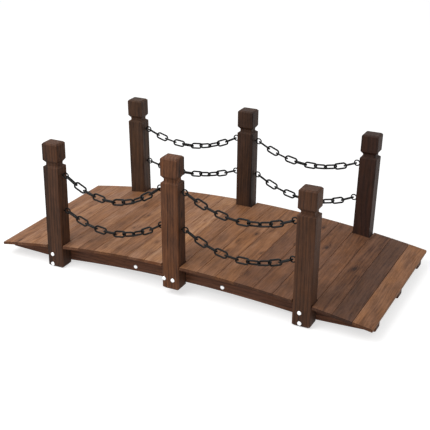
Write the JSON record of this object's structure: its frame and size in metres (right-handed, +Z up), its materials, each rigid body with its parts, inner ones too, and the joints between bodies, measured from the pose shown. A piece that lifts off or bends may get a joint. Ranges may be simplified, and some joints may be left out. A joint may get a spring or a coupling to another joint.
{
  "type": "moon bridge",
  "caption": "Arched wooden garden footbridge with a cross-board deck on bowed stringers, square grooved posts and black chain rails on both sides.",
  "frame": {"origin": "on the level ground under the middle of the crown, midway between the two rows of posts; the four end posts' feet stand at Z = 0", "axes": "+X along the walk towards the right end, +Y across the walk towards the back row of posts, +Z up"},
  "size_m": [1.4976, 0.672, 0.522],
  "materials": {
    "deck_wood": "stained, lightly worn",
    "post_wood": "dark stained",
    "stringer_wood": "dark stained",
    "chain_black": "black, semi-gloss"
  },
  "bodies": {
    "root": {"deck_board_01": "deck_wood", "deck_board_02": "deck_wood", "deck_board_03": "deck_wood", "deck_board_04": "deck_wood", "deck_board_05": "deck_wood", "deck_board_06": "deck_wood", "deck_board_07": "deck_wood", "deck_board_08": "deck_wood", "deck_board_09": "deck_wood", "deck_board_10": "deck_wood", "deck_board_11": "deck_wood", "deck_board_12": "deck_wood", "deck_board_13": "deck_wood", "deck_board_14": "deck_wood", "deck_board_15": "deck_wood", "deck_board_16": "deck_wood", "deck_board_17": "deck_wood", "deck_board_18": "deck_wood", "deck_board_19": "deck_wood", "deck_board_20": "deck_wood", "deck_board_21": "deck_wood", "post_front_left": "post_wood", "post_front_middle": "post_wood", "post_front_right": "post_wood", "post_back_left": "post_wood", "post_back_middle": "post_wood", "post_back_right": "post_wood", "front_stringer": "stringer_wood", "middle_stringer": "stringer_wood", "back_stringer": "stringer_wood", "cross_members": "stringer_wood", "chain_front_left_upper": "chain_black", "chain_front_left_lower": "chain_black", "chain_front_right_upper": "chain_black", "chain_front_right_lower": "chain_black", "chain_back_left_upper": "chain_black", "chain_back_left_lower": "chain_black", "chain_back_right_upper": "chain_black", "chain_back_right_lower": "chain_black", "screw_eyes_front_left": "chain_black", "screw_eyes_front_middle": "chain_black", "screw_eyes_front_right": "chain_black", "screw_eyes_back_left": "chain_black", "screw_eyes_back_middle": "chain_black", "screw_eyes_back_right": "chain_black"}
  },
  "joints": []
}
